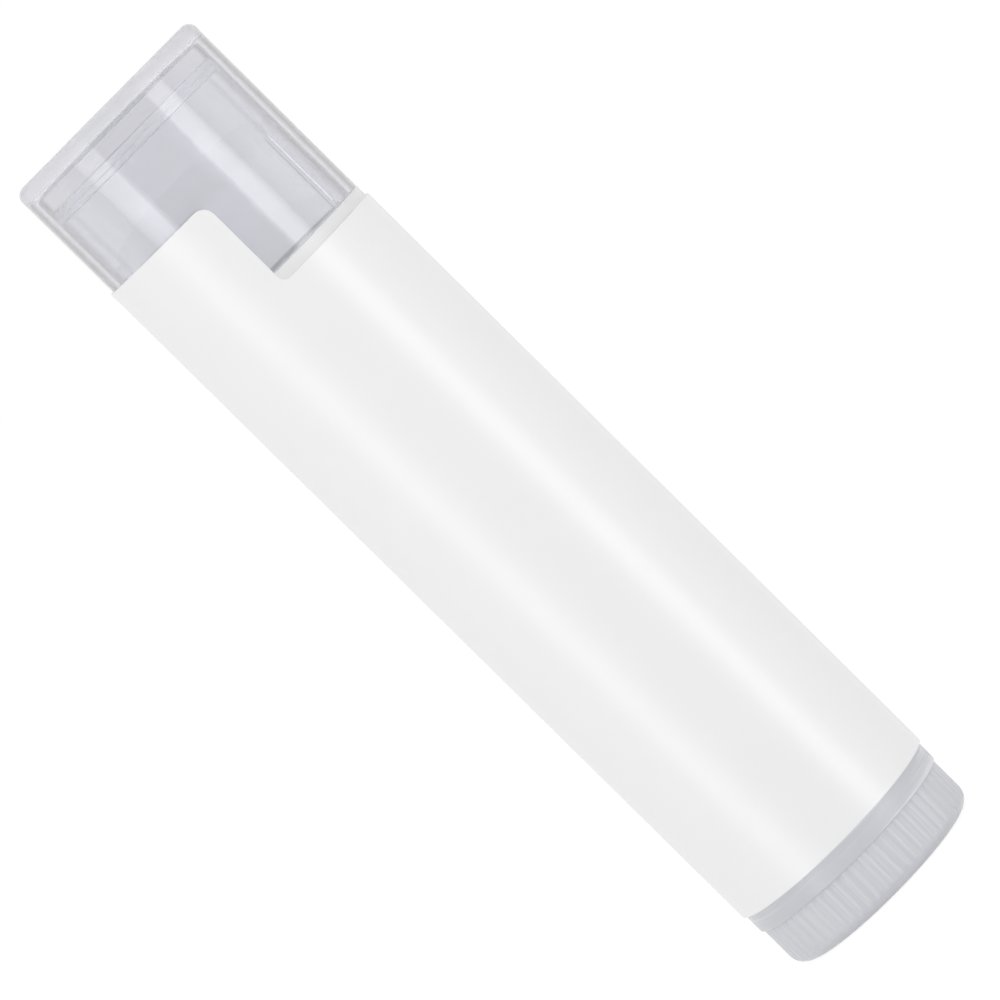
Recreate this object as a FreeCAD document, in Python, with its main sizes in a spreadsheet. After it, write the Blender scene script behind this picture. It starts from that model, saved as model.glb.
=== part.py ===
# Twist-up lip balm stick: clear barrel and cap, blank wrap label with a torn-off seal tab,
# ribbed knob with its screw spindle, elevator cup and the balm.
# Millimetres. Origin at the centre of the knob's base, +Z up towards the cap, front at -Y.
import FreeCAD, Part
import Sketcher
import math
import os

doc = FreeCAD.newDocument("LipBalmStick")

# Driving dimensions, by the piece that carries them.
sizeList = {
    # barrel: body, neck and shoulder
    "barrel_radius": 7.9,
    "neck_wall": 0.7,
    "body_length": 52.4,
    "neck_length": 12.5,
    "barrel_edge": 0.15,
    "rim_edge": 0.2,
    # small bead near the neck's rim that grips the cap
    "lip_rise": 0.13,
    "lip_height": 0.5,
    "lip_below_rim": 0.5,
    # ribs in the bore that keep the elevator from turning
    "rib_count": 4,
    "rib_width": 0.8,
    "rib_rise": 0.35,
    "rib_root": 0.25,
    "rib_gap": 0.3,
    "rib_below_rim": 6.2,
    # snap groove at the barrel's foot
    "groove_height": 0.8,
    "groove_depth": 0.3,
    "groove_start": 0.65,
    # knob, snap collar and spindle
    "knob_setback": 0.15,
    "knob_length": 3.4,
    "knob_corner": 1.0,
    "knob_gap": 0.1,
    "knob_rib_count": 60,
    "knob_rib_depth": 0.18,
    "knob_rib_gap": 0.5,
    "knob_rim_width": 2.35,
    "knob_recess_depth": 0.8,
    "knob_floor": 1.0,
    "recess_edge": 0.2,
    "collar_length": 3.1,
    "collar_wall": 0.8,
    "spindle_radius": 2.15,
    "spindle_tip": 0.7,
    # elevator cup
    "elevator_gap": 0.6,
    "skirt_length": 5.0,
    "skirt_wall": 0.7,
    "platform_depth": 0.9,
    "cup_height": 5.0,
    "cup_wall": 0.6,
    "hub_wall": 0.85,
    "hub_rise": 4.0,
    "fin_count": 4,
    "fin_width": 0.6,
    "fin_rise": 2.4,
    # balm
    "balm_below_rim": 15.0,
    "balm_round": 1.0,
    "balm_over_tip": 1.2,
    "tip_gap": 0.3,
    # cap
    "cap_wall": 0.6,
    "neck_gap": 0.23,
    "roof_gap": 1.65,
    "roof_depth": 0.85,
    "cap_corner": 0.7,
    "roof_edge": 0.6,
    "cap_rim_edge": 0.12,
    # wrap label and seal tab
    "label_film": 0.18,
    "adhesive_gap": 0.02,
    "label_foot": 1.5,
    "label_below_shoulder": 0.9,
    "label_corner": 0.55,
    "tab_height": 6.2,
    "tab_corner": 0.9,
    "tab_edge_shift": 0.2,
    "seam_gap": 0.3,
    # running clearances
    "turning_fit": 0.1,
    "sliding_fit": 0.1,
}

sizes = doc.addObject("Spreadsheet::Sheet", "Sizes")
for row, (alias, number) in enumerate(sizeList.items(), start=1):
    sizes.set("A%d" % row, alias)
    sizes.set("B%d" % row, str(number))
    sizes.setAlias("B%d" % row, alias)
doc.recompute()


# A size expression: every word becomes a cell of the sheet.
def cells(words):
    parts = words.split(" ")
    return " ".join("Sizes." + part if part in sizeList else part for part in parts)


def value(words):
    result = sizes.evalExpression(cells(words))
    return float(getattr(result, "Value", result))


# Places along Z, each built from the sizes below it.
barrelFoot = "knob_length + knob_gap"
shoulder = barrelFoot + " + body_length"
neckRim = shoulder + " + neck_length"
lipTop = neckRim + " - lip_below_rim"
lipFoot = lipTop + " - lip_height"
grooveFoot = barrelFoot + " + groove_start"
grooveTop = grooveFoot + " + groove_height"
collarTop = "knob_length + collar_length"
ribFoot = collarTop + " + rib_gap"
ribTop = neckRim + " - rib_below_rim"
floorTop = "knob_recess_depth + knob_floor"
hubFoot = collarTop + " + elevator_gap"
platformFoot = hubFoot + " + skirt_length"
platformTop = platformFoot + " + platform_depth"
hubTop = platformTop + " + hub_rise"
cupRim = platformTop + " + cup_height"
balmTop = neckRim + " - balm_below_rim"
spindleTop = balmTop + " - balm_over_tip"
balmHoleTop = spindleTop + " + tip_gap"
roofFoot = neckRim + " + roof_gap"
capTop = roofFoot + " + roof_depth"
labelFoot = barrelFoot + " + label_foot"
labelTop = shoulder + " - label_below_shoulder"
tabTop = shoulder + " + tab_height"

# Radii, from the barrel's inwards and outwards.
capInner = "barrel_radius - cap_wall"
neckRadius = capInner + " - neck_gap"
boreRadius = neckRadius + " - neck_wall"
grooveRadius = boreRadius + " + groove_depth"
knobRadius = "barrel_radius - knob_setback"
recessRadius = knobRadius + " - knob_rim_width"
collarRadius = boreRadius + " - turning_fit"
beadRadius = grooveRadius + " - turning_fit"
elevatorRadius = boreRadius + " - sliding_fit"
hubBore = "spindle_radius + sliding_fit"
hubRadius = hubBore + " + hub_wall"
notchFloor = boreRadius + " - rib_rise - sliding_fit"
labelInner = "barrel_radius + adhesive_gap"
labelOuter = labelInner + " + label_film"


def newBody(name):
    body = doc.addObject("PartDesign::Body", name)
    body.Label = name
    return body


def originPlane(body, role):
    return [item for item in body.Origin.OriginFeatures if item.Role == role][0]


# A closed outline through corners (across, up), each bound to the sheet; an empty word is zero.
def outline(body, name, role, corners, lift=""):
    sketch = body.newObject("Sketcher::SketchObject", name)
    sketch.AttachmentSupport = [(originPlane(body, role), "")]
    sketch.MapMode = "FlatFace"
    if lift:
        sketch.setExpression("AttachmentOffset.Base.z", cells(lift))
    places = [[value(words) if words else 0 for words in corner] for corner in corners]
    for index, start in enumerate(places):
        end = places[(index + 1) % len(places)]
        line = Part.LineSegment(FreeCAD.Vector(*start, 0), FreeCAD.Vector(*end, 0))
        sketch.addGeometry(line, False)
    for index in range(len(places)):
        sketch.addConstraint(Sketcher.Constraint("Coincident", index, 2, (index + 1) % len(places), 1))
    for index, (across, up) in enumerate(corners):
        bindCorner(sketch, "DistanceX", -2, index, across)
        bindCorner(sketch, "DistanceY", -1, index, up)
    doc.recompute()
    return sketch


def bindCorner(sketch, kind, axis, index, words):
    if not words:
        sketch.addConstraint(Sketcher.Constraint("PointOnObject", index, 1, axis))
        return
    number = sketch.addConstraint(Sketcher.Constraint(kind, -1, 1, index, 1, value(words)))
    sketch.setExpression("Constraints[%d]" % number, cells(words))


def revolve(body, name, sketch, sweep=""):
    turned = body.newObject("PartDesign::Revolution", name)
    turned.Profile = sketch
    turned.ReferenceAxis = (sketch, ["V_Axis"])
    if sweep:
        turned.setExpression("Angle", cells(sweep))
    else:
        turned.Angle = 360
    doc.recompute()
    return turned


def pad(body, name, sketch, length):
    raised = body.newObject("PartDesign::Pad", name)
    raised.Profile = sketch
    raised.setExpression("Length", cells(length))
    doc.recompute()
    return raised


# A pocket cut upwards from its sketch; the volume shows that it cut.
def pocketUp(body, name, sketch, length):
    before = body.Tip.Shape.Volume
    cut = body.newObject("PartDesign::Pocket", name)
    cut.Profile = sketch
    cut.Reversed = True
    cut.setExpression("Length", cells(length))
    doc.recompute()
    if not cut.Shape.Volume < before:
        raise RuntimeError(name + " cuts nothing")
    return cut


def polar(body, name, feature, count):
    pattern = body.newObject("PartDesign::PolarPattern", name)
    pattern.Originals = [feature]
    pattern.Axis = ([item for item in body.Origin.OriginFeatures if item.Role == "Z_Axis"][0], [""])
    pattern.Angle = 360
    pattern.setExpression("Occurrences", cells(count))
    body.Tip = pattern
    doc.recompute()
    return pattern


# A round stretch in short straight steps, where many small faces meet it: how far each point
# lies in from the side and from the end, as shares of the round's radius, from the end to the side.
roundSteps = 3


def roundShares():
    turns = [math.pi / 2 * step / roundSteps for step in range(roundSteps + 1)]
    return [(1 - math.sin(turn), 1 - math.cos(turn)) for turn in turns]


# Names of the edges of a shape that a test picks.
def edgesWhere(shape, test):
    return ["Edge%d" % (number + 1) for number, edge in enumerate(shape.Edges) if test(edge)]


def isRing(edge, radius, height):
    near = value("turning_fit") / 10
    curve = edge.Curve
    return (isinstance(curve, Part.Circle) and abs(curve.Radius - value(radius)) < near
            and abs(curve.Center.z - (value(height) if height else 0)) < near)


# Rounds or chamfers the circular edges at the given radii and heights.
def edgeRings(body, name, kind, rings, size):
    base = body.Tip
    edges = edgesWhere(base.Shape, lambda edge: any(isRing(edge, *ring) for ring in rings))
    eased = body.newObject("PartDesign::" + kind, name)
    eased.Base = (base, edges)
    eased.setExpression("Radius" if kind == "Fillet" else "Size", cells(size))
    doc.recompute()
    return eased


# Barrel: one turned section with the neck, the lip bead and the snap groove, then the bore's ribs.
def makeBarrel():
    body = newBody("barrel")
    section = outline(body, "barrel_section", "XZ_Plane", [
        (boreRadius, barrelFoot),
        ("barrel_radius", barrelFoot),
        ("barrel_radius", shoulder),
        (neckRadius, shoulder),
        (neckRadius, lipFoot),
        (neckRadius + " + lip_rise", lipFoot + " + lip_rise"),
        (neckRadius + " + lip_rise", lipTop + " - lip_rise"),
        (neckRadius, lipTop),
        (neckRadius, neckRim),
        (boreRadius, neckRim),
        (boreRadius, grooveTop),
        (grooveRadius, grooveTop + " - groove_depth / 2"),
        (grooveRadius, grooveFoot + " + groove_depth / 2"),
        (boreRadius, grooveFoot),
    ])
    revolve(body, "barrel_wall", section)
    edgeRings(body, "barrel_edges", "Chamfer", [("barrel_radius", barrelFoot), ("barrel_radius", shoulder)],
              "barrel_edge")
    edgeRings(body, "neck_rim", "Chamfer", [(neckRadius, neckRim), (boreRadius, neckRim)], "rim_edge")
    ribSection = outline(body, "rib_section", "XY_Plane", [
        (boreRadius + " - rib_rise", "- rib_width / 2"),
        (boreRadius + " + rib_root", "- rib_width / 2"),
        (boreRadius + " + rib_root", "rib_width / 2"),
        (boreRadius + " - rib_rise", "rib_width / 2"),
    ], lift=ribFoot)
    rib = pad(body, "rib", ribSection, "( " + ribTop + " ) - ( " + ribFoot + " )")
    polar(body, "ribs", rib, "rib_count")
    return body


# Knob, snap collar and spindle are one moulding; the knob's rim is fluted all round.
def makeKnobSpindle():
    body = newBody("knob_spindle")
    beadFoot = grooveFoot + " + turning_fit"
    beadTop = grooveTop + " - turning_fit"
    section = outline(body, "knob_section", "XZ_Plane", [
        ("", "knob_recess_depth"),
        (recessRadius, "knob_recess_depth"),
        (recessRadius, ""),
        *[(knobRadius + " - knob_corner * %.6f" % inShare, "knob_corner * %.6f" % upShare)
          for inShare, upShare in roundShares()],
        (knobRadius, "knob_length"),
        (collarRadius, "knob_length"),
        (collarRadius, beadFoot),
        (beadRadius, beadFoot + " + groove_depth / 2"),
        (beadRadius, beadTop + " - groove_depth / 2"),
        (collarRadius, beadTop),
        (collarRadius, collarTop),
        (collarRadius + " - collar_wall", collarTop),
        (collarRadius + " - collar_wall", floorTop),
        ("spindle_radius", floorTop),
        ("spindle_radius", spindleTop + " - spindle_tip"),
        ("spindle_radius - spindle_tip", spindleTop),
        ("", spindleTop),
    ])
    revolve(body, "knob_turned", section)
    edgeRings(body, "recess_edges", "Chamfer", [(recessRadius, ""), (recessRadius, "knob_recess_depth")],
              "recess_edge")
    fluteSection = outline(body, "flute_section", "XY_Plane", [
        (knobRadius + " - knob_rib_depth", ""),
        (knobRadius + " + knob_rib_depth", "- knob_rib_gap"),
        (knobRadius + " + knob_rib_depth", "knob_rib_gap"),
    ])
    flute = pocketUp(body, "flute", fluteSection, "knob_length")
    polar(body, "flutes", flute, "knob_rib_count")
    return body


# Elevator cup: skirt below the platform, cup wall above it, hub on the screw, notches for the ribs
# and fins that key the balm.
def makeElevatorCup():
    body = newBody("elevator_cup")
    section = outline(body, "cup_section", "XZ_Plane", [
        (hubBore, hubFoot),
        (hubRadius, hubFoot),
        (hubRadius, platformFoot),
        (elevatorRadius + " - skirt_wall", platformFoot),
        (elevatorRadius + " - skirt_wall", hubFoot),
        (elevatorRadius, hubFoot),
        (elevatorRadius, cupRim),
        (elevatorRadius + " - cup_wall", cupRim),
        (elevatorRadius + " - cup_wall", platformTop),
        (hubRadius, platformTop),
        (hubRadius, hubTop),
        (hubBore, hubTop),
    ])
    revolve(body, "cup_turned", section)
    finSection = outline(body, "fin_section", "XY_Plane", [
        (hubRadius + " - fin_width / 2", "- fin_width / 2"),
        (elevatorRadius + " - cup_wall / 2", "- fin_width / 2"),
        (elevatorRadius + " - cup_wall / 2", "fin_width / 2"),
        (hubRadius + " - fin_width / 2", "fin_width / 2"),
    ], lift=platformTop + " - platform_depth / 2")
    fin = pad(body, "fin", finSection, "fin_rise + platform_depth / 2")
    polar(body, "fins", fin, "fin_count")
    notchSection = outline(body, "notch_section", "XY_Plane", [
        (notchFloor, "- rib_width / 2 - sliding_fit"),
        (boreRadius, "- rib_width / 2 - sliding_fit"),
        (boreRadius, "rib_width / 2 + sliding_fit"),
        (notchFloor, "rib_width / 2 + sliding_fit"),
    ], lift=hubFoot)
    notch = pocketUp(body, "notch", notchSection, "( " + cupRim + " ) - ( " + hubFoot + " )")
    polar(body, "notches", notch, "rib_count")
    return body


# The balm is poured over the elevator cup, so the cup is cut out of the poured column.
def makeBalmStick(elevatorCup):
    pour = newBody("poured_column")
    section = outline(pour, "pour_section", "XZ_Plane", [
        (hubBore, platformTop),
        (elevatorRadius, platformTop),
        *[(elevatorRadius + " - balm_round * %.6f" % inShare, balmTop + " - balm_round * %.6f" % downShare)
          for inShare, downShare in reversed(roundShares())],
        ("", balmTop),
        ("", balmHoleTop),
        (hubBore, balmHoleTop),
    ])
    revolve(pour, "pour_turned", section)
    grooveSection = outline(pour, "pour_groove_section", "XY_Plane", [
        (notchFloor, "- rib_width / 2 - sliding_fit"),
        (boreRadius, "- rib_width / 2 - sliding_fit"),
        (boreRadius, "rib_width / 2 + sliding_fit"),
        (notchFloor, "rib_width / 2 + sliding_fit"),
    ], lift=platformTop)
    groove = pocketUp(pour, "pour_groove", grooveSection, "( " + balmTop + " ) - ( " + platformTop + " )")
    polar(pour, "pour_grooves", groove, "rib_count")
    balm = doc.addObject("Part::Cut", "balm_stick")
    balm.Label = "balm_stick"
    balm.Base = pour
    balm.Tool = elevatorCup
    doc.recompute()
    return balm


# Cap: a cup turned upside down over the neck, seated on the barrel's shoulder.
def makeCap():
    body = newBody("cap")
    section = outline(body, "cap_section", "XZ_Plane", [
        (capInner, shoulder),
        ("barrel_radius", shoulder),
        ("barrel_radius", capTop),
        ("", capTop),
        ("", roofFoot),
        (capInner, roofFoot),
    ])
    revolve(body, "cap_turned", section)
    edgeRings(body, "cap_top_corner", "Fillet", [("barrel_radius", capTop)], "cap_corner")
    edgeRings(body, "cap_roof_corner", "Chamfer", [(capInner, roofFoot)], "roof_edge")
    edgeRings(body, "cap_rim_edges", "Chamfer", [("barrel_radius", shoulder), (capInner, shoulder)],
              "cap_rim_edge")
    return body


# The label's tall half runs from the back seam by the left side to just past the front's centre line.
tabSweep = "180 + 180 * tab_edge_shift / ( pi * ( " + labelOuter + " ) )"
labelSweep = "360 - 180 * seam_gap / ( pi * ( " + labelOuter + " ) )"


def filmSection(body, name, foot, top):
    return outline(body, name, "YZ_Plane", [
        (labelInner, foot),
        (labelOuter, foot),
        (labelOuter, top),
        (labelInner, top),
    ])


# A short edge that runs through the film at one height, at the film's front end or its back end.
def isFilmEdge(edge, height, atFront):
    near = value("label_film") / 10
    ends = [vertex.Point for vertex in edge.Vertexes]
    if len(ends) != 2 or abs(edge.Length - value("label_film")) > near:
        return False
    onHeight = all(abs(point.z - value(height)) < near for point in ends)
    return onHeight and all((point.y < 0) == atFront for point in ends)


def makeBarrelLabel():
    body = newBody("barrel_label")
    revolve(body, "label_wrap", filmSection(body, "label_section", labelFoot, labelTop), labelSweep)
    revolve(body, "tab_foot", filmSection(body, "tab_foot_section", labelTop, shoulder), tabSweep)
    base = body.Tip
    corner = body.newObject("PartDesign::Fillet", "label_step_corner")
    corner.Base = (base, edgesWhere(base.Shape, lambda edge: isFilmEdge(edge, labelTop, True)))
    corner.setExpression("Radius", cells("label_corner"))
    doc.recompute()
    return body


def makeCapSealTab():
    body = newBody("cap_seal_tab")
    revolve(body, "tab_wrap", filmSection(body, "tab_section", shoulder, tabTop), tabSweep)
    base = body.Tip
    corner = body.newObject("PartDesign::Fillet", "tab_corners")
    corner.Base = (base, edgesWhere(base.Shape, lambda edge: isFilmEdge(edge, tabTop, True)
                                    or isFilmEdge(edge, tabTop, False)))
    corner.setExpression("Radius", cells("tab_corner"))
    doc.recompute()
    return body


elevatorCup = makeElevatorCup()
pieces = [
    makeBarrel(),
    makeBarrelLabel(),
    makeKnobSpindle(),
    elevatorCup,
    makeBalmStick(elevatorCup),
    makeCap(),
    makeCapSealTab(),
]
doc.recompute()

for item in doc.Objects:
    if "Invalid" in item.State or "Error" in item.State:
        raise RuntimeError(item.Name + " did not build: " + str(item.State))
for piece in pieces:
    if piece.Shape.isNull() or not piece.Shape.isValid():
        raise RuntimeError(piece.Label + " has no valid shape")

os.makedirs("parts", exist_ok=True)
for piece in pieces:
    piece.Shape.exportStep("parts/" + piece.Label + ".step")
    box = piece.Shape.BoundBox
    print("%-14s solids %d  volume %8.2f  z %6.2f to %6.2f  x %6.2f to %6.2f" % (
        piece.Label, len(piece.Shape.Solids), piece.Shape.Volume, box.ZMin, box.ZMax, box.XMin, box.XMax))
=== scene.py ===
import math
import bmesh
import bpy
from mathutils import Matrix, Vector


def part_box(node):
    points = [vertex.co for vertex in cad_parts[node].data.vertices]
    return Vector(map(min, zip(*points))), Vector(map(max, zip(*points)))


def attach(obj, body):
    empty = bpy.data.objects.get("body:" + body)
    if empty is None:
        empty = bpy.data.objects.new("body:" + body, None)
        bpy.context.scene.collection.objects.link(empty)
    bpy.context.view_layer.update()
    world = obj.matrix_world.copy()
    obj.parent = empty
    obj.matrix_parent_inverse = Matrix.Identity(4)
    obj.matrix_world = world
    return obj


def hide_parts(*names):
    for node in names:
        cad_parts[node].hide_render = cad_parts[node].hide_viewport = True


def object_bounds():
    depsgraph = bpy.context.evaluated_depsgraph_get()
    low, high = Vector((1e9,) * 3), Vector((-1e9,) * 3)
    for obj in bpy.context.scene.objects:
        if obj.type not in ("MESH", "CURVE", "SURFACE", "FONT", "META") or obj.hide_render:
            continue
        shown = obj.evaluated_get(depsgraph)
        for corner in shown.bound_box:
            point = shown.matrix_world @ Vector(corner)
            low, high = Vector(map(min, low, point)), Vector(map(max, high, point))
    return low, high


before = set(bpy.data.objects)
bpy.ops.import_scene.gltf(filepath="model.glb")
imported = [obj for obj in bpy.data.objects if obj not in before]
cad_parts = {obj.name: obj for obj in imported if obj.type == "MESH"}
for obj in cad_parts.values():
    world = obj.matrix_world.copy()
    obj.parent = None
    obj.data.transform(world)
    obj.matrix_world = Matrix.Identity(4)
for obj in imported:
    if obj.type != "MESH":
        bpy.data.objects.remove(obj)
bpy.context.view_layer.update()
mm = 0.001
touch = mm / 1000

# how far a face or a point may lie from the wall or the place that is looked for, in millimetres
sameWall = 0.03
samePoint = 0.002
print("frame loaded")

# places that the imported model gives, in millimetres from the knob's base
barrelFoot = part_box("barrel")[0].z / mm
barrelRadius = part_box("barrel")[1].x / mm
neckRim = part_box("barrel")[1].z / mm
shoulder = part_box("cap")[0].z / mm
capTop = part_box("cap")[1].z / mm
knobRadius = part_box("knob_spindle")[1].y / mm
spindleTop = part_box("knob_spindle")[1].z / mm
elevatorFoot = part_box("elevator_cup")[0].z / mm
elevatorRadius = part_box("elevator_cup")[1].y / mm
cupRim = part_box("elevator_cup")[1].z / mm
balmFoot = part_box("balm_stick")[0].z / mm
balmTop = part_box("balm_stick")[1].z / mm
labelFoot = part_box("barrel_label")[0].z / mm
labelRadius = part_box("barrel_label")[1].x / mm
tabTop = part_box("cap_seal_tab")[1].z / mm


# a closed ring of corners (radius, height, rounding) drawn with one vertex and turned about Z;
# corners on the axis leave the ring open there, so that the turned skin meets itself in a pole
def turnedPiece(name, corners, steps, roundSteps=5):
    path = [Vector((corner[0], 0, corner[1])) * mm for corner in corners]
    if corners[0][0] > 0:
        path.append(path[0])
    piece = drawnChain(name, path)
    bpy.ops.mesh.remove_doubles(threshold=touch)
    for corner in corners:
        if len(corner) > 2:
            roundCorner(piece, corner, roundSteps)
    bpy.ops.mesh.select_all(action="SELECT")
    bpy.ops.mesh.spin(steps=steps, angle=2 * math.pi, center=(0, 0, 0), axis=(0, 0, 1))
    bpy.ops.mesh.select_all(action="SELECT")
    bpy.ops.mesh.remove_doubles(threshold=touch)
    bpy.ops.mesh.normals_make_consistent(inside=False)
    bpy.ops.object.mode_set(mode="OBJECT")
    return piece


# selects the vertices that a test picks, in edit mode
def selectPoints(piece, test):
    bpy.ops.mesh.select_mode(type="VERT")
    bpy.ops.mesh.select_all(action="DESELECT")
    shape = bmesh.from_edit_mesh(piece.data)
    for point in shape.verts:
        point.select_set(test(point.co))
    shape.select_flush(True)
    bmesh.update_edit_mesh(piece.data)


# selects the faces whose middle a test picks, in edit mode
def selectFaces(piece, test):
    bpy.ops.mesh.select_mode(type="FACE")
    bpy.ops.mesh.select_all(action="DESELECT")
    shape = bmesh.from_edit_mesh(piece.data)
    for face in shape.faces:
        face.select_set(test(face.calc_center_median()))
    bmesh.update_edit_mesh(piece.data)


# rounds one corner (across, up, rounding) of a drawn outline
def roundCorner(piece, corner, steps):
    place = Vector((corner[0], 0, corner[1])) * mm
    selectPoints(piece, lambda p: (p - place).length < 2 * touch)
    bpy.ops.mesh.bevel(offset=corner[2] * mm, segments=steps, affect="VERTICES")


# angle in degrees from a direction, either way
def turnFrom(place, degrees):
    away = math.degrees(math.atan2(place.y, place.x)) - degrees
    return abs((away + 180) % 360 - 180)


# pushes four strips of a turned wall in or out along their own directions
def pushStrips(piece, radius, low, high, halfTurn, rise):
    bpy.context.view_layer.objects.active = piece
    bpy.ops.object.mode_set(mode="EDIT")
    for quarter in range(4):
        facing = Vector((math.cos(math.pi / 2 * quarter), math.sin(math.pi / 2 * quarter), 0))
        selectFaces(piece, lambda c: abs(c.xy.length / mm - radius) < sameWall
                    and low < c.z / mm < high and turnFrom(c, 90 * quarter) < halfTurn)
        bpy.ops.mesh.extrude_region_move(TRANSFORM_OT_translate={"value": facing * rise * mm})
    bpy.ops.object.mode_set(mode="OBJECT")


# joins a tool to a piece or cuts it out, and takes the tool away
def combine(piece, tool, operation):
    bpy.ops.object.select_all(action="DESELECT")
    bpy.context.view_layer.objects.active = piece
    joined = piece.modifiers.new("joined", "BOOLEAN")
    joined.operation = operation
    joined.solver = "EXACT"
    joined.object = tool
    bpy.ops.object.modifier_apply(modifier="joined")
    tool.select_set(True)
    bpy.ops.object.delete()


# a chain of points (radius, height) drawn with one vertex, left in edit mode
def drawnChain(name, path):
    bpy.ops.object.select_all(action="DESELECT")
    bpy.ops.mesh.primitive_plane_add(size=mm)
    piece = bpy.context.object
    piece.name = piece.data.name = name
    bpy.ops.object.mode_set(mode="EDIT")
    bpy.ops.mesh.select_mode(type="VERT")
    bpy.ops.mesh.select_all(action="SELECT")
    bpy.ops.mesh.merge(type="CENTER")
    bpy.ops.transform.translate(value=path[0])
    for here, there in zip(path, path[1:]):
        bpy.ops.mesh.extrude_vertices_move(TRANSFORM_OT_translate={"value": there - here})
    bpy.ops.mesh.select_all(action="SELECT")
    return piece


# a solid left-hand screw between two heights: the outline of one lead is turned and lifted,
# and the ends are cut flat; turns start at whole leads, so that screws and nuts mesh
def screwSolid(name, root, rise, wider, low, high):
    lead = threadSize["lead"]
    start = (math.floor(low / lead) - 1) * lead
    places = [
        (root, 0),
        (root, threadSize["flankFoot"] - wider),
        (root + rise, threadSize["crestFoot"] - wider),
        (root + rise, threadSize["crestTop"] + wider),
        (root, threadSize["flankTop"] + wider),
        (root, lead),
    ]
    piece = drawnChain(name, [Vector((across, 0, start + up)) * mm for across, up in places])
    bpy.ops.object.mode_set(mode="OBJECT")
    turns = piece.modifiers.new("turns", "SCREW")
    turns.angle = -2 * math.pi
    turns.screw_offset = lead * mm
    turns.iterations = math.ceil((high - start) / lead) + 1
    turns.steps = turns.render_steps = threadSize["steps"]
    bpy.ops.object.modifier_apply(modifier="turns")
    bpy.ops.object.mode_set(mode="EDIT")
    bpy.ops.mesh.select_all(action="SELECT")
    bpy.ops.mesh.remove_doubles(threshold=touch)
    for height, side in ((low, -1), (high, 1)):
        bpy.ops.mesh.select_all(action="SELECT")
        bpy.ops.mesh.bisect(plane_co=(0, 0, height * mm), plane_no=(0, 0, side),
                            use_fill=True, clear_outer=True)
    bpy.ops.mesh.select_all(action="SELECT")
    bpy.ops.mesh.normals_make_consistent(inside=False)
    bpy.ops.object.mode_set(mode="OBJECT")
    return piece


def smoothBy(piece, degrees):
    bpy.ops.object.select_all(action="DESELECT")
    piece.select_set(True)
    bpy.context.view_layer.objects.active = piece
    bpy.ops.object.shade_smooth_by_angle(angle=math.radians(degrees))


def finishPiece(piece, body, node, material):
    piece.data.materials.clear()
    piece.data.materials.append(material)
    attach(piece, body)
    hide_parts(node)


# a material with a Principled shader, and its node tree's main parts
def newMaterial(name):
    material = bpy.data.materials.new(name)
    material.use_nodes = True
    nodes = material.node_tree.nodes
    return material, nodes, material.node_tree.links, nodes["Principled BSDF"], nodes["Material Output"]


def addNode(nodes, kind, **values):
    node = nodes.new(kind)
    for name, value in values.items():
        if name in node.inputs:
            node.inputs[name].default_value = value
        else:
            setattr(node, name, value)
    return node


# spreads a value between two levels over zero to one
def mapRange(nodes, links, value, between):
    node = nodes.new("ShaderNodeMapRange")
    node.inputs["From Min"].default_value, node.inputs["From Max"].default_value = between
    links.new(value, node.inputs["Value"])
    return node


# a colour between two others; each is given as a colour or as another node's output
def colourMix(nodes, links, factor, first, second):
    node = addNode(nodes, "ShaderNodeMix", data_type="RGBA")
    links.new(factor, node.inputs["Factor"])
    for slot, colour in ((6, first), (7, second)):
        if isinstance(colour, tuple):
            node.inputs[slot].default_value = colour
        else:
            links.new(colour, node.inputs[slot])
    return node.outputs[2]


# one shader in front of another, by a factor
def shaderMix(nodes, links, factor, first, second):
    node = addNode(nodes, "ShaderNodeMixShader")
    links.new(factor, node.inputs[0])
    links.new(first, node.inputs[1])
    links.new(second, node.inputs[2])
    return node.outputs["Shader"]


# the larger of two values
def larger(nodes, links, first, second):
    node = addNode(nodes, "ShaderNodeMath", operation="MAXIMUM")
    links.new(first, node.inputs[0])
    links.new(second, node.inputs[1])
    return node.outputs["Value"]


# a value times a number, plus another
def scaled(nodes, links, value, times, plus=0.0):
    node = addNode(nodes, "ShaderNodeMath", operation="MULTIPLY_ADD")
    links.new(value, node.inputs[0])
    node.inputs[1].default_value = times
    node.inputs[2].default_value = plus
    return node.outputs["Value"]


# one where a value is over a level, else zero
def over(nodes, links, value, level):
    node = addNode(nodes, "ShaderNodeMath", operation="GREATER_THAN")
    links.new(value, node.inputs[0])
    node.inputs[1].default_value = level
    return node.outputs["Value"]


# fine relief from a value on the shader's normal
def relief(nodes, links, shader, height, strength, distance):
    bump = addNode(nodes, "ShaderNodeBump", Strength=strength, Distance=distance)
    links.new(height, bump.inputs["Height"])
    links.new(bump.outputs["Normal"], shader.inputs["Normal"])


# what the moulding group starts from; each material gives its own flow, smoothest and roughest
mouldingLook = {"Flow Scale": 160.0, "Scuff Scale": 900.0, "Smoothest": 0.02, "Roughest": 0.08}
scuffSpread = (0.42, 0.75)


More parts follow.
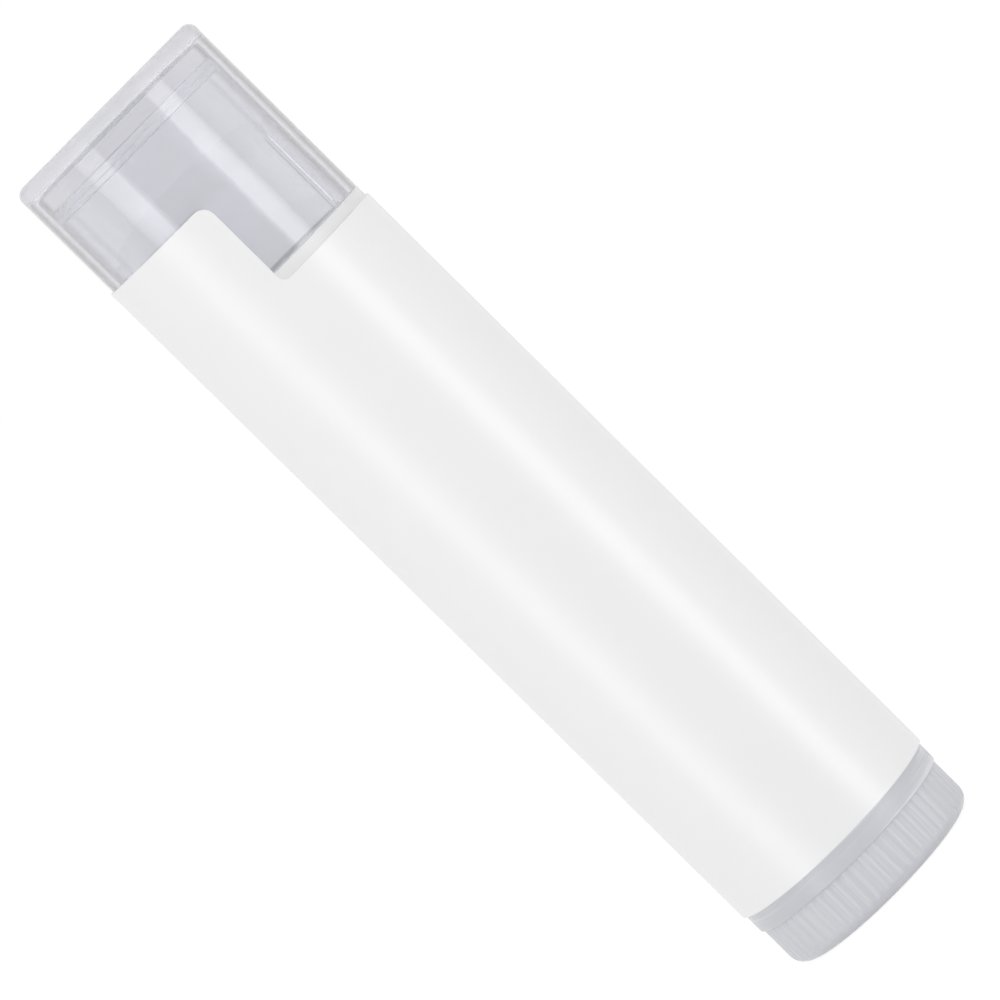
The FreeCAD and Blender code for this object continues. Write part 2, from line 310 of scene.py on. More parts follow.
# surface of a moulding: faint flow lines in its height and small scuffs in its roughness
def makeMouldingGroup():
    group = bpy.data.node_groups.new("mouldedSurface", "ShaderNodeTree")
    for name, value in mouldingLook.items():
        socket = group.interface.new_socket(name, in_out="INPUT", socket_type="NodeSocketFloat")
        socket.default_value = value
    for name in ("Roughness", "Height"):
        group.interface.new_socket(name, in_out="OUTPUT", socket_type="NodeSocketFloat")
    nodes, links = group.nodes, group.links
    given, made = nodes.new("NodeGroupInput"), nodes.new("NodeGroupOutput")
    place = addNode(nodes, "ShaderNodeTexCoord")
    scuffs = addNode(nodes, "ShaderNodeTexNoise", Detail=4.0, Roughness=0.6)
    flow = addNode(nodes, "ShaderNodeTexNoise", Detail=1.0)
    for texture, scale in ((scuffs, "Scuff Scale"), (flow, "Flow Scale")):
        links.new(place.outputs["Object"], texture.inputs["Vector"])
        links.new(given.outputs[scale], texture.inputs["Scale"])
    spread = mapRange(nodes, links, scuffs.outputs["Fac"], scuffSpread)
    links.new(given.outputs["Smoothest"], spread.inputs["To Min"])
    links.new(given.outputs["Roughest"], spread.inputs["To Max"])
    links.new(spread.outputs["Result"], made.inputs["Roughness"])
    links.new(flow.outputs["Fac"], made.inputs["Height"])
    return group


mouldingGroup = makeMouldingGroup()


# the group placed in a material with that material's values
def moulding(nodes, look):
    surface = nodes.new("ShaderNodeGroup")
    surface.node_tree = mouldingGroup
    for name, value in (("Flow Scale", "flowScale"), ("Smoothest", "smoothest"), ("Roughest", "roughest")):
        surface.inputs[name].default_value = look[value]
    return surface


# what all the plastic shares: its index, and how edgewise to the view a surface stands where painted shade
# darkens its tint
plastic = {"index": 1.49, "edgeShadeFacing": (0.6, 0.72), "coatRoughness": 0.12, "relief": 0.0002}

# rays count as late after this many mirror images or surfaces; the bounce limits are near
lateRays = (("Glossy Depth", 2.5), ("Ray Depth", 10.5))

# clear and frosted plastic: tint, painted shade at edges seen edgewise, haze, gloss and how much lamp light
# goes through
capLook = {"tint": (0.79, 0.79, 0.813, 1), "paintedEdgeShade": (0.22, 0.22, 0.232, 1), "clear": 0.98,
           "smoothest": 0.01, "roughest": 0.025, "flowScale": 160.0, "bump": 0.008, "coat": 0,
           "frostFoot": capTop - 1.4, "frostTop": capTop - 0.8, "frost": 0.4, "edgeShadeFade": 0.75,
           "shadowTint": (0.92, 0.92, 0.94, 1)}
barrelLook = {"tint": (0.97, 0.97, 0.98, 1), "paintedEdgeShade": (0.7, 0.7, 0.72, 1), "clear": 0.99,
              "smoothest": 0.01, "roughest": 0.025, "flowScale": 160.0, "bump": 0.005, "coat": 0,
              "frostFoot": neckRim - 1.2, "frostTop": neckRim - 1.0, "frost": 0.18, "edgeShadeFade": 0.0,
              "shadowTint": (0.98, 0.98, 0.99, 1)}
bodyLook = {"foot": (0.73, 0.735, 0.77, 1), "top": (0.93, 0.93, 0.935, 1), "clear": 0.3,
            "paintedStreak": (0.92, 0.93, 0.95, 1), "streakScale": (60, 60, 2400), "streakSpread": (0.48, 0.7),
            "smoothest": 0.3, "roughest": 0.42, "flowScale": 160.0, "fadeMargin": 3,
            "shadowTint": (0.9, 0.9, 0.91, 1)}
knobLook = {"tint": (0.66, 0.665, 0.70, 1), "paintedEdgeShade": (0.65, 0.655, 0.69, 1), "clear": 0.06,
            "smoothest": 0.34, "roughest": 0.42, "flowScale": 260.0, "bump": 0.02, "coat": 0.35,
            "frost": 0, "shadowTint": (0.8, 0.8, 0.82, 1)}


# one for rays from the lamps, and for rays that have zigzagged in clear walls until the bounce
# limits would turn them black; those go straight on
def letThrough(nodes, links):
    path = addNode(nodes, "ShaderNodeLightPath")
    total = path.outputs["Is Shadow Ray"]
    for name, most in lateRays:
        total = larger(nodes, links, total, over(nodes, links, path.outputs[name], most))
    return total


# the finished shader, and plain see-through for the rays that are let through
def connectClear(nodes, links, shader, output, shadowTint):
    through = addNode(nodes, "ShaderNodeBsdfTransparent", Color=shadowTint)
    passing = letThrough(nodes, links)
    mixed = shaderMix(nodes, links, passing, shader.outputs["BSDF"], through.outputs["BSDF"])
    links.new(mixed, output.inputs["Surface"])


# the point that is shaded, and its height above the knob's base
def pointAndHeight(nodes, links):
    place = addNode(nodes, "ShaderNodeTexCoord")
    parts = addNode(nodes, "ShaderNodeSeparateXYZ")
    links.new(place.outputs["Object"], parts.inputs["Vector"])
    return place.outputs["Object"], parts.outputs["Z"]


# between two heights the roughness rises to a frosted finish, and the painted edge shade fades
def frosted(nodes, links, roughness, edgeShadeShare, look):
    if look["frost"] == 0:
        return roughness, edgeShadeShare
    place, height = pointAndHeight(nodes, links)
    upwards = mapRange(nodes, links, height, (look["frostFoot"] * mm, look["frostTop"] * mm))
    rough = scaled(nodes, links, upwards.outputs["Result"], look["frost"])
    left = scaled(nodes, links, upwards.outputs["Result"], -look["edgeShadeFade"], 1.0)
    fainter = addNode(nodes, "ShaderNodeMath", operation="MULTIPLY")
    links.new(edgeShadeShare, fainter.inputs[0])
    links.new(left, fainter.inputs[1])
    return larger(nodes, links, roughness, rough), fainter.outputs["Value"]


def makeClearPlastic(name, look):
    material, nodes, links, shader, output = newMaterial(name)
    shader.inputs["Transmission Weight"].default_value = look["clear"]
    shader.inputs["IOR"].default_value = plastic["index"]
    shader.inputs["Coat Weight"].default_value = look["coat"]
    shader.inputs["Coat Roughness"].default_value = plastic["coatRoughness"]
    # painted shade: the tint darkens where a surface turns edgewise to the view, for the dark edges of the
    # clear walls
    facing = addNode(nodes, "ShaderNodeLayerWeight", Blend=0.5)
    edge = mapRange(nodes, links, facing.outputs["Facing"], plastic["edgeShadeFacing"])
    surface = moulding(nodes, look)
    roughness, edgeShadeShare = frosted(nodes, links, surface.outputs["Roughness"], edge.outputs["Result"], look)
    links.new(roughness, shader.inputs["Roughness"])
    tint = colourMix(nodes, links, edgeShadeShare, look["tint"], look["paintedEdgeShade"])
    links.new(tint, shader.inputs["Base Color"])
    relief(nodes, links, shader, surface.outputs["Height"], look["bump"], plastic["relief"])
    connectClear(nodes, links, shader, output, look["shadowTint"])
    return material


# the barrel's matt, milky body below the shoulder: painted shade makes it greyer at the foot, where the
# knob's collar is behind it, and painted light streaks there stand in for the collar and its bead seen
# through the wall
def makeMilkyPlastic(name, look):
    material, nodes, links, shader, output = newMaterial(name)
    shader.inputs["Transmission Weight"].default_value = look["clear"]
    shader.inputs["IOR"].default_value = plastic["index"]
    place, height = pointAndHeight(nodes, links)
    between = ((barrelFoot + look["fadeMargin"]) * mm, (shoulder - look["fadeMargin"]) * mm)
    upwards = mapRange(nodes, links, height, between)
    stretched = addNode(nodes, "ShaderNodeVectorMath", operation="MULTIPLY")
    links.new(place, stretched.inputs[0])
    stretched.inputs[1].default_value = look["streakScale"]
    lines = addNode(nodes, "ShaderNodeTexNoise", Scale=1.0, Detail=2.0)
    links.new(stretched.outputs["Vector"], lines.inputs["Vector"])
    shown = mapRange(nodes, links, lines.outputs["Fac"], look["streakSpread"])
    # painted light streaks over the painted shade at the foot, fading to the plain milky white towards the
    # shoulder
    foot = colourMix(nodes, links, shown.outputs["Result"], look["foot"], look["paintedStreak"])
    tint = colourMix(nodes, links, upwards.outputs["Result"], foot, look["top"])
    links.new(tint, shader.inputs["Base Color"])
    surface = moulding(nodes, look)
    links.new(surface.outputs["Roughness"], shader.inputs["Roughness"])
    connectClear(nodes, links, shader, output, look["shadowTint"])
    return material


# blank satin label: a fine coated-paper grain; the thin film lets soft light into the tube. One
# stand-in isn't physical: to a ray that has met more than "deep" surfaces the label gives off
# light of its own, more so where a mirror image is among them, which lightens the clear walls
labelLook = {"colour": (0.90, 0.90, 0.90, 1), "darker": (0.885, 0.885, 0.885, 1), "roughness": 0.33,
             "shine": 0.9, "mottleScale": 350.0, "grainScale": 9000.0, "grain": 0.05, "grainDepth": 0.00002,
             "softLight": 0.8, "deep": 6.5, "innerLight": 0.95, "mirrored": 0.9}


def makeLabelPaper():
    look = labelLook
    material, nodes, links, shader, output = newMaterial("satinLabel")
    place = addNode(nodes, "ShaderNodeTexCoord")
    mottle = addNode(nodes, "ShaderNodeTexNoise", Scale=look["mottleScale"], Detail=3.0)
    links.new(place.outputs["Object"], mottle.inputs["Vector"])
    colour = colourMix(nodes, links, mottle.outputs["Fac"], look["colour"], look["darker"])
    links.new(colour, shader.inputs["Base Color"])
    shader.inputs["Roughness"].default_value = look["roughness"]
    shader.inputs["Specular IOR Level"].default_value = look["shine"]
    grain = addNode(nodes, "ShaderNodeTexNoise", Scale=look["grainScale"], Detail=2.0)
    links.new(place.outputs["Object"], grain.inputs["Vector"])
    relief(nodes, links, shader, grain.outputs["Fac"], look["grain"], look["grainDepth"])
    path = addNode(nodes, "ShaderNodeLightPath")
    scattered = over(nodes, links, path.outputs["Diffuse Depth"], 0.5)
    inwards = scaled(nodes, links, scattered, look["softLight"])
    through = addNode(nodes, "ShaderNodeBsdfTransparent")
    film = shaderMix(nodes, links, inwards, shader.outputs["BSDF"], through.outputs["BSDF"])
    mirrored = over(nodes, links, path.outputs["Glossy Depth"], 0.5)
    level = scaled(nodes, links, mirrored, look["mirrored"], look["innerLight"])
    lit = addNode(nodes, "ShaderNodeEmission", Color=look["colour"])
    links.new(level, lit.inputs["Strength"])
    deep = over(nodes, links, path.outputs["Ray Depth"], look["deep"])
    links.new(shaderMix(nodes, links, deep, film, lit.outputs["Emission"]), output.inputs["Surface"])
    return material


# poured wax: clouded, soft at its edges, with a faint skin
balmLook = {"colour": (0.89, 0.885, 0.86, 1), "cloudShare": 0.96, "cloudScale": 400.0, "roughness": 0.42,
            "softness": 0.3, "softRadius": (0.0010, 0.0009, 0.0007), "skin": 0.1, "skinDepth": 0.00005}


def makeBalm():
    look = balmLook
    material, nodes, links, shader, output = newMaterial("pouredBalm")
    place = addNode(nodes, "ShaderNodeTexCoord")
    clouds = addNode(nodes, "ShaderNodeTexNoise", Scale=look["cloudScale"], Detail=3.0)
    links.new(place.outputs["Object"], clouds.inputs["Vector"])
    cloudy = tuple(look["cloudShare"] * part for part in look["colour"][:3]) + (1,)
    colour = colourMix(nodes, links, clouds.outputs["Fac"], look["colour"], cloudy)
    links.new(colour, shader.inputs["Base Color"])
    shader.inputs["Roughness"].default_value = look["roughness"]
    shader.inputs["Subsurface Weight"].default_value = look["softness"]
    shader.inputs["Subsurface Radius"].default_value = look["softRadius"]
    shader.inputs["Subsurface Scale"].default_value = 1.0
    relief(nodes, links, shader, clouds.outputs["Fac"], look["skin"], look["skinDepth"])
    return material


# opaque white moulding of the elevator
elevatorLook = {"colour": (0.84, 0.84, 0.83, 1), "flowScale": 220.0, "smoothest": 0.35, "roughest": 0.5,
                "bump": 0.08, "relief": 0.0001}


def makeWhitePlastic():
    look = elevatorLook
    material, nodes, links, shader, output = newMaterial("whiteMoulding")
    surface = moulding(nodes, look)
    shader.inputs["Base Color"].default_value = look["colour"]
    links.new(surface.outputs["Roughness"], shader.inputs["Roughness"])
    relief(nodes, links, shader, surface.outputs["Height"], look["bump"], look["relief"])
    return material


capPlastic = makeClearPlastic("clearCapPlastic", capLook)
barrelPlastic = makeClearPlastic("clearBarrelPlastic", barrelLook)
bodyPlastic = makeMilkyPlastic("milkyBodyPlastic", bodyLook)
knobPlastic = makeClearPlastic("frostedKnobPlastic", knobLook)
labelPaper = makeLabelPaper()
balmWax = makeBalm()
whitePlastic = makeWhitePlastic()
print("materials made")

# clear barrel: body, neck with its lip bead, snap groove at the foot, four ribs in the bore
barrelSize = {
    "neckRadius": 7.07,
    "boreRadius": 6.37,
    "edge": 0.1,
    "footEdge": 0.04,
    "neckFillet": 0.08,
    "rimRound": 0.22,
    "lipRise": 0.1,
    "lipHeight": 0.5,
    "lipBelowRim": 0.5,
    "lipRound": 0.05,
    "grooveDepth": 0.3,
    "grooveRound": 0.08,
    "grooveStart": 0.65,
    "grooveHeight": 0.8,
    "ribFoot": barrelFoot + 3.3,
    "ribBelowRim": 6.2,
    "ribRise": 0.35,
    "ribHalfTurn": 3.8,
    "steps": 384,
    "smoothAngle": 35,
}


def makeBarrel():
    size = barrelSize
    neck, bore = size["neckRadius"], size["boreRadius"]
    lipTop = neckRim - size["lipBelowRim"]
    lipFoot = lipTop - size["lipHeight"]
    grooveFoot = barrelFoot + size["grooveStart"]
    grooveTop = grooveFoot + size["grooveHeight"]
    grooveWall = bore + size["grooveDepth"]
    ribTop = neckRim - size["ribBelowRim"]
    piece = turnedPiece("clearBarrel", [
        (bore, barrelFoot, size["edge"]),
        (barrelRadius, barrelFoot, size["footEdge"]),
        (barrelRadius, shoulder, size["edge"]),
        (neck, shoulder, size["neckFillet"]),
        (neck, lipFoot),
        (neck + size["lipRise"], lipFoot + size["lipRise"], size["lipRound"]),
        (neck + size["lipRise"], lipTop - size["lipRise"], size["lipRound"]),
        (neck, lipTop),
        (neck, neckRim, size["rimRound"]),
        (bore, neckRim, size["rimRound"]),
        (bore, ribTop),
        (bore, shoulder + size["neckFillet"]),
        (bore, size["ribFoot"]),
        (bore, grooveTop),
        (grooveWall, grooveTop - size["grooveDepth"] / 2, size["grooveRound"]),
        (grooveWall, grooveFoot + size["grooveDepth"] / 2, size["grooveRound"]),
        (bore, grooveFoot),
    ], size["steps"])
    pushStrips(piece, bore, size["ribFoot"], ribTop, size["ribHalfTurn"], -size["ribRise"])
    smoothBy(piece, size["smoothAngle"])
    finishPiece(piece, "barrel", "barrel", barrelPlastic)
    piece.data.materials.append(bodyPlastic)
    bpy.ops.object.mode_set(mode="EDIT")
    selectFaces(piece, lambda c: c.z / mm < shoulder + size["neckFillet"])
    piece.active_material_index = 1
    bpy.ops.object.material_slot_assign()
    bpy.ops.object.mode_set(mode="OBJECT")
    return piece


makeBarrel()
print("barrel made")

# clear cap: one wall and a roof, rounded at the top and seated on the barrel's shoulder
capSize = {
    "wall": 0.6,
    "roof": 0.85,
    "corner": 0.7,
    "roofRound": 0.65,
    "rimRound": 0.07,
    "steps": 480,
    "roundSteps": 8,
    "smoothAngle": 35,
}


def makeCap():
    size = capSize
    inner = barrelRadius - size["wall"]
    roofFoot = capTop - size["roof"]
    piece = turnedPiece("clearCap", [
        (0, capTop),
        (barrelRadius, capTop, size["corner"]),
        (barrelRadius, shoulder, size["rimRound"]),
        (inner, shoulder, size["rimRound"]),
        (inner, roofFoot, size["roofRound"]),
        (0, roofFoot),
    ], size["steps"], size["roundSteps"])
    smoothBy(piece, size["smoothAngle"])
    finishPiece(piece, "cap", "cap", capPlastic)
    return piece


makeCap()
print("cap made")

# coarse thread of the spindle and the elevator's hub, along one lead
threadSize = {
    "root": 1.7,
    "rise": 0.45,
    "lead": 3.2,
    "flankFoot": 1.5,
    "crestFoot": 1.9,
    "crestTop": 2.6,
    "flankTop": 3.0,
    "play": 0.1,
    "buried": 0.04,
    "sunk": 0.3,
    "steps": 48,
}

# knob with sixty ribs, snap collar and spindle, one moulding
knobSize = {
    "length": barrelFoot - 0.02,
    "corner": 1.0,
    "topEdge": 0.04,
    "rimWidth": 2.35,
    "recessDepth": 0.8,
    "recessRound": 0.25,
    "floor": 1.0,
    "floorRound": 0.3,
    "ribCount": 60,
    "stepsPerRib": 8,
    "fluteDepth": 0.11,
    "fluteShares": (0, 0, 0, 0.35, 0.85, 1, 0.85, 0.35),
    "collarRadius": 6.27,
    "collarWall": 0.8,
    "collarTop": barrelFoot + 3.0,
    "collarFootRound": 0.1,
    "collarTopRound": 0.15,
    "beadRadius": 6.57,
    "beadFoot": barrelFoot + 0.75,
    "beadTop": barrelFoot + 1.35,
    "beadRound": 0.06,
    "tip": 0.6,
    "tipRound": 0.1,
    "roundSteps": 6,
    "smoothAngle": 32,
}


def makeKnob():
    size = knobSize
    collar, bead = size["collarRadius"], size["beadRadius"]
    recess = knobRadius - size["rimWidth"]
    floorTop = size["recessDepth"] + size["floor"]
    collarInner = collar - size["collarWall"]
    shaft = threadSize["root"] - threadSize["buried"]
    halfBead = (bead - collar) / 2
    piece = turnedPiece("ribbedKnobAndSpindle", [
        (0, size["recessDepth"]),
        (recess, size["recessDepth"], size["recessRound"]),
        (recess, 0, size["recessRound"]),
        (knobRadius, 0, size["corner"]),
        (knobRadius, size["length"], size["topEdge"]),
        (collar, size["length"], size["collarFootRound"]),
        (collar, size["beadFoot"]),
        (bead, size["beadFoot"] + halfBead, size["beadRound"]),
        (bead, size["beadTop"] - halfBead, size["beadRound"]),
        (collar, size["beadTop"]),
        (collar, size["collarTop"], size["collarTopRound"]),
        (collarInner, size["collarTop"], size["collarTopRound"]),
        (collarInner, floorTop, size["floorRound"]),
        (shaft, floorTop, size["floorRound"]),
        (shaft, spindleTop - size["tip"]),
        (shaft - size["tip"], spindleTop, size["tipRound"]),
        (0, spindleTop),
    ], size["ribCount"] * size["stepsPerRib"], size["roundSteps"])
    cutFlutes(piece)
    screw = screwSolid("spindleScrew", threadSize["root"], threadSize["rise"], 0,
                       floorTop - threadSize["sunk"], spindleTop - size["tip"])
    combine(piece, screw, "UNION")
    smoothBy(piece, size["smoothAngle"])
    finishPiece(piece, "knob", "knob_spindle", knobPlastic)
    return piece


# draws every step of a flute in towards the axis, row by row, so that flutes run out on the corner
def cutFlutes(piece):
    size = knobSize
    steps = size["ribCount"] * size["stepsPerRib"]
    root = knobRadius - size["fluteDepth"]
    top = size["length"] + samePoint
    rows = {}
    for point in piece.data.vertices:
        radius = point.co.xy.length / mm
        if radius > root and point.co.z / mm < top:
            rows.setdefault(round(point.co.z / mm, 3), radius)
    bpy.context.view_layer.objects.active = piece
    bpy.ops.object.mode_set(mode="EDIT")
    for height, radius in rows.items():
        for step, share in enumerate(size["fluteShares"]):
            target = min(radius, knobRadius - share * size["fluteDepth"])
            if target > radius - touch / mm:
                continue

            def inFlute(p):
                turn = round(math.atan2(p.y, p.x) / (2 * math.pi) * steps) % size["stepsPerRib"]
                sameRow = abs(p.z / mm - height) < samePoint
                return turn == step and sameRow and abs(p.xy.length / mm - radius) < samePoint

            selectPoints(piece, inFlute)
            bpy.ops.transform.resize(value=(target / radius, target / radius, 1), center_override=(0, 0, 0))
    bpy.ops.object.mode_set(mode="OBJECT")


makeKnob()
print("knob made")

# elevator cup, with fins that key the balm and notches for the barrel's ribs
elevatorSize = {
    "skirtWall": 0.7,
    "cupWall": 0.6,
    "platformFoot": elevatorFoot + 5.0,
    "hubRadius": 3.1,
    "finWidth": 0.6,
    "finRise": 2.4,
    "finReach": 5.8,
    "hubTop": balmFoot + 4.0,
    "finSunk": 0.3,
    "notchDepth": 0.35,
    "notchHalfTurn": 4.7,
    "screwPast": 1,
    "edge": 0.12,
    "steps": 192,
    "roundSteps": 3,
    "smoothAngle": 35,
}


# one fin between the hub and the cup's wall, on the platform; wider for the cut that it leaves
# in the balm
def finBlock(quarter, wider):
    size = elevatorSize
    inner, reach = size["hubRadius"] - size["finSunk"], size["finReach"] + wider
    low, high = balmFoot - size["finSunk"], balmFoot + size["finRise"] + wider
    bpy.ops.object.select_all(action="DESELECT")
    bpy.ops.mesh.primitive_cube_add(size=mm)
    fin = bpy.context.object
    bpy.ops.object.mode_set(mode="EDIT")
    bpy.ops.mesh.select_all(action="SELECT")
    bpy.ops.transform.resize(value=(reach - inner, size["finWidth"] + 2 * wider, high - low))
    bpy.ops.transform.translate(value=Vector(((reach + inner) / 2, 0, (low + high) / 2)) * mm)
    bpy.ops.transform.rotate(value=-math.pi / 2 * quarter, orient_axis="Z", center_override=(0, 0, 0))
    bpy.ops.object.mode_set(mode="OBJECT")
    return fin


def makeElevator():
    size = elevatorSize
    skirt = elevatorRadius - size["skirtWall"]
    cup = elevatorRadius - size["cupWall"]
    nutRoot = threadSize["root"] + threadSize["play"]
    bore = nutRoot - threadSize["buried"]
    piece = turnedPiece("elevatorCup", [
        (bore, elevatorFoot, size["edge"]),
        (size["hubRadius"], elevatorFoot, size["edge"]),
        (size["hubRadius"], size["platformFoot"], size["edge"]),
        (skirt, size["platformFoot"], size["edge"]),
        (skirt, elevatorFoot, size["edge"]),
        (elevatorRadius, elevatorFoot, size["edge"]),
        (elevatorRadius, cupRim, size["edge"]),
        (cup, cupRim, size["edge"]),
        (cup, balmFoot, size["edge"]),
        (size["hubRadius"], balmFoot, size["edge"]),
        (size["hubRadius"], size["hubTop"], size["edge"]),
        (bore, size["hubTop"], size["edge"]),
    ], size["steps"], size["roundSteps"])
    pushStrips(piece, elevatorRadius, elevatorFoot + size["edge"], cupRim - size["edge"],
               size["notchHalfTurn"], -size["notchDepth"])
    nut = screwSolid("hubScrew", nutRoot, threadSize["rise"], threadSize["play"],
                     elevatorFoot - size["screwPast"], size["hubTop"] + size["screwPast"])
    combine(piece, nut, "DIFFERENCE")
    for quarter in range(4):
        combine(piece, finBlock(quarter, 0), "UNION")
    smoothBy(piece, size["smoothAngle"])
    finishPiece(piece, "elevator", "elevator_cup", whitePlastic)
    return piece


makeElevator()
print("elevator made")

# the balm, poured over the elevator, with its dished tip and grooves over the barrel's ribs
balmSize = {
    "edge": 1.0,
    "dish": 0.25,
    "dishRadius": 4.4,
    "dishRound": 0.8,
    "keyRadius": 5.67,
    "gap": 0.02,
    "tipGap": 0.3,
    "holeRound": 0.2,
    "grooveDepth": 0.4,
    "grooveHalfTurn": 4.7,
    "steps": 192,
    "roundSteps": 6,
    "smoothAngle": 40,
}


def makeBalmStick():
    size = balmSize
    hub = elevatorSize["hubRadius"] + size["gap"]
    bore = threadSize["root"] + threadSize["rise"] + threadSize["play"]
    hubTop, rim = elevatorSize["hubTop"] + size["gap"], cupRim + size["gap"]
    key = size["keyRadius"] - size["gap"]
    holeTop = spindleTop + size["tipGap"]
    piece = turnedPiece("balmStick", [
        (0, holeTop),
        (bore, holeTop, size["holeRound"]),
        (bore, hubTop),
        (hub, hubTop),
        (hub, balmFoot + size["gap"]),
        (key, balmFoot + size["gap"]),
        (key, rim),
        (elevatorRadius, rim),
        (elevatorRadius, balmTop, size["edge"]),
        (size["dishRadius"], balmTop, size["dishRound"]),
        (size["dishRadius"] / 2, balmTop - size["dish"], size["dishRound"]),
        (0, balmTop - size["dish"]),
    ], size["steps"], size["roundSteps"])
    pushStrips(piece, elevatorRadius, rim, balmTop - size["edge"],
               size["grooveHalfTurn"], -size["grooveDepth"])
    for quarter in range(4):
        combine(piece, finBlock(quarter, size["gap"]), "DIFFERENCE")
    smoothBy(piece, size["smoothAngle"])
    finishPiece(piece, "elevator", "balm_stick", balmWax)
    return piece


makeBalmStick()
print("balm made")

# the label as a flat cut sheet, bent round the tube; its ends meet at the back
labelSize = {
    "film": 0.18,
    "belowShoulder": 0.9,
    "stepRound": 0.55,
    "tabRound": 0.9,
    "tabShift": 0.2,
    "seamGap": 0.3,
    "strips": 240,
    "roundSteps": 8,
    "smoothAngle": 35,
}


# a flat outline (along, up, rounding) filled, cut into narrow strips and wrapped at a radius;
# along 0 is the back seam, and it runs by the left side to the front
def wrappedSheet(name, outline, radius, film):
    path = [Vector((corner[0], 0, corner[1])) * mm for corner in outline]
    piece = drawnChain(name, path + path[:1])
    bpy.ops.mesh.remove_doubles(threshold=touch)
    for corner in outline:
        if len(corner) > 2:
            roundCorner(piece, corner, labelSize["roundSteps"])
    bpy.ops.mesh.select_all(action="SELECT")
    bpy.ops.mesh.edge_face_add()
    strip = 2 * math.pi * radius / labelSize["strips"]
    for cut in range(1, math.ceil(max(corner[0] for corner in outline) / strip)):
        bpy.ops.mesh.select_all(action="SELECT")
        bpy.ops.mesh.bisect(plane_co=(strip * cut * mm, 0, 0), plane_no=(1, 0, 0))
    shape = bmesh.from_edit_mesh(piece.data)
    for point in shape.verts:
        turn = math.pi / 2 + point.co.x / mm / radius
        point.co.x, point.co.y = radius * mm * math.cos(turn), radius * mm * math.sin(turn)
    bmesh.update_edit_mesh(piece.data)
    bpy.ops.mesh.select_all(action="SELECT")
    bpy.ops.mesh.normals_make_consistent(inside=False)
    face = bmesh.from_edit_mesh(piece.data).faces[:][0]
    if face.normal.dot(face.calc_center_median()) < 0:
        bpy.ops.mesh.flip_normals()
    bpy.ops.object.mode_set(mode="OBJECT")
    solid = piece.modifiers.new("film", "SOLIDIFY")
    solid.thickness = film * mm
    solid.offset = -1
    bpy.ops.object.modifier_apply(modifier="film")
    return piece


def makeLabels():
    size = labelSize
    around = 2 * math.pi * labelRadius
    end = around - size["seamGap"]
    edge = around / 2 + size["tabShift"]
    lowTop = shoulder - size["belowShoulder"]
    wrap = wrappedSheet("wrapLabel", [
        (0, labelFoot),
        (end, labelFoot),
        (end, lowTop),
        (edge, lowTop, size["stepRound"]),
        (edge, shoulder),
        (0, shoulder),
    ], labelRadius, size["film"])
    smoothBy(wrap, size["smoothAngle"])
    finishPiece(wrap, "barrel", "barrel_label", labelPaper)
    tab = wrappedSheet("sealTab", [
        (0, shoulder),
        (edge, shoulder),
        (edge, tabTop, size["tabRound"]),
        (0, tabTop, size["tabRound"]),
    ], labelRadius, size["film"])
    smoothBy(tab, size["smoothAngle"])
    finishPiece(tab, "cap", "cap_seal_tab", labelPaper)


makeLabels()
print("labels made")

# the camera stands level with the cap and is turned, so that the stick lies across the picture
view = {
    "distance": 0.48,
    "height": 0.0713,
    "pixelsPerMetre": 15577,
    "objectPixel": (495.7, 496.7),
    "pictureSize": 1000,
    "roll": 45.34,
    "sensor": 36,
    "nearest": 0.01,
}


def makeCamera():
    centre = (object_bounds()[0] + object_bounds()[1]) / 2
    place = Vector((0, -view["distance"], view["height"]))
    forward = (centre - place).normalized()
    right = forward.cross(Vector((0, 0, 1))).normalized()
    up = right.cross(forward)
    roll = math.radians(view["roll"])
    cameraUp = up * math.cos(roll) + right * math.sin(roll)
    cameraRight = forward.cross(cameraUp)
    middle = view["pictureSize"] / 2
    across = (middle - view["objectPixel"][0]) / view["pixelsPerMetre"]
    above = (view["objectPixel"][1] - middle) / view["pixelsPerMetre"]
    shift = cameraRight * across + cameraUp * above
    turn = Matrix((cameraRight, cameraUp, -forward)).transposed()
    bpy.ops.object.camera_add(location=place + shift, rotation=turn.to_euler())
    camera = bpy.context.object
    camera.name = "photoCamera"
    reach = (centre - place).length
    camera.data.sensor_width = view["sensor"]
    camera.data.lens = view["sensor"] * reach * view["pixelsPerMetre"] / view["pictureSize"]
    camera.data.clip_start = view["nearest"]
    bpy.context.scene.camera = camera


makeCamera()

# turns in degrees from the camera's side, sizes in metres; the floor lies a hair below the knob
studio = {
    "leftSoftbox": {"turn": -45.6, "width": 0.27, "watts": 0.75},
    "rightSoftbox": {"turn": 48.6, "width": 0.23, "watts": 0.9},
    "frontFill": {"turn": -10, "width": 0.5, "watts": 1.0},
    "distance": 0.6,
    "height": 0.7,
    "ambient": 0.9,
    "frontLevel": 0.3,
    "frontSide": (-0.7, -0.1),
    "floorSize": 6.0,
    "floorGap": 0.00005,
    "floorColour": (0.8, 0.8, 0.8, 1),
    "shadowShare": 0.25,
    "floorWhite": 1.18,
}


# two tall softboxes draw the stripes, and a fill from the front lights the object softly
def makeLights():
    for name in ("leftSoftbox", "rightSoftbox", "frontFill"):
        angle = math.radians(studio[name]["turn"])
        place = Vector((math.sin(angle), -math.cos(angle), 0)) * studio["distance"]
        bpy.ops.object.light_add(type="AREA", location=place, rotation=(math.pi / 2, 0, angle))
        lamp = bpy.context.object
        lamp.name = name
        lamp.data.shape = "RECTANGLE"
        lamp.data.size = studio[name]["width"]
        lamp.data.size_y = studio["height"]
        lamp.data.energy = studio[name]["watts"]
        lamp.visible_diffuse = name == "frontFill"
        lamp.visible_glossy = name != "frontFill"
        lamp.visible_transmission = name != "frontFill"


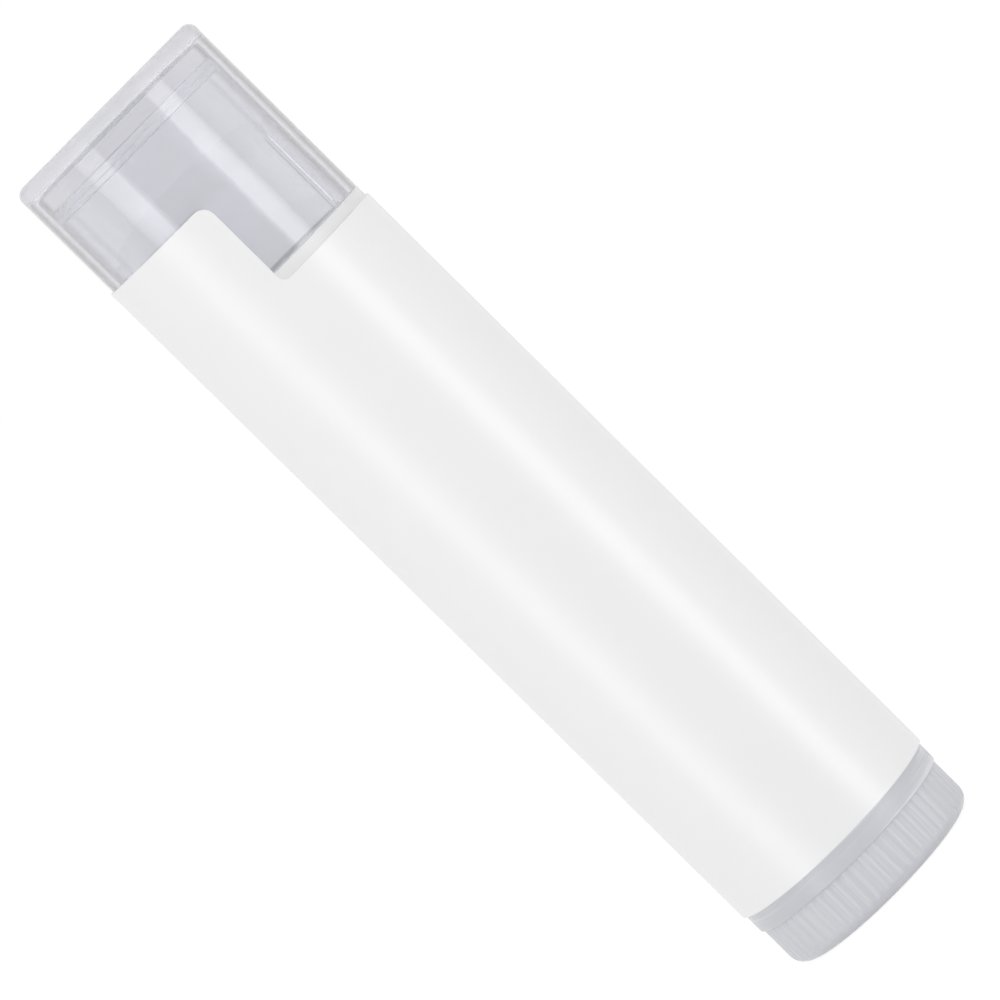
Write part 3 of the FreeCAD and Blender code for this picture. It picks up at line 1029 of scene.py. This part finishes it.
# white where the camera looks and behind the object, a darker room towards the camera's side in
# reflections and through clear plastic, and a plain level for soft light
def makeWorld():
    world = bpy.data.worlds.new("whiteStudio")
    bpy.context.scene.world = world
    world.use_nodes = True
    nodes, links = world.node_tree.nodes, world.node_tree.links
    ground = nodes["Background"]
    ground.inputs["Color"].default_value = (1, 1, 1, 1)
    ground.inputs["Strength"].default_value = studio["ambient"]
    direction = addNode(nodes, "ShaderNodeTexCoord")
    parts = addNode(nodes, "ShaderNodeSeparateXYZ")
    links.new(direction.outputs["Generated"], parts.inputs["Vector"])
    side = mapRange(nodes, links, parts.outputs["Y"], studio["frontSide"])
    side.inputs["To Min"].default_value = studio["frontLevel"]
    path = addNode(nodes, "ShaderNodeLightPath")
    level = larger(nodes, links, side.outputs["Result"], path.outputs["Is Camera Ray"])
    seen = addNode(nodes, "ShaderNodeBackground", Color=(1, 1, 1, 1))
    links.new(level, seen.inputs["Strength"])
    mixed = shaderMix(nodes, links, lookingRays(nodes, links), ground.outputs["Background"],
                      seen.outputs["Background"])
    links.new(mixed, nodes["World Output"].inputs["Surface"])


# one for camera, glossy and transmission rays, zero for the others
def lookingRays(nodes, links):
    path = addNode(nodes, "ShaderNodeLightPath")
    total = path.outputs["Is Camera Ray"]
    for name in ("Is Glossy Ray", "Is Transmission Ray"):
        total = larger(nodes, links, total, path.outputs[name])
    return total


# a pale floor: white where rays look at it, with a share of its own shading for soft shadows
def makeFloor():
    bpy.ops.object.select_all(action="DESELECT")
    bpy.ops.mesh.primitive_plane_add(size=studio["floorSize"], location=(0, 0, -studio["floorGap"]))
    floor = bpy.context.object
    floor.name = "paleFloor"
    material = bpy.data.materials.new("paleFloor")
    material.use_nodes = True
    nodes, links = material.node_tree.nodes, material.node_tree.links
    shader = nodes["Principled BSDF"]
    shader.inputs["Base Color"].default_value = studio["floorColour"]
    shader.inputs["Roughness"].default_value = 1
    shader.inputs["Specular IOR Level"].default_value = 0
    white = addNode(nodes, "ShaderNodeEmission", Color=(1, 1, 1, 1), Strength=studio["floorWhite"])
    share = scaled(nodes, links, lookingRays(nodes, links), 1 - studio["shadowShare"])
    mixed = shaderMix(nodes, links, share, shader.outputs["BSDF"], white.outputs["Emission"])
    links.new(mixed, nodes["Material Output"].inputs["Surface"])
    floor.data.materials.append(material)
    floor.visible_glossy = False
    floor.visible_shadow = False


makeLights()
makeWorld()
makeFloor()
bpy.context.scene.view_settings.view_transform = "Standard"
print("studio made")
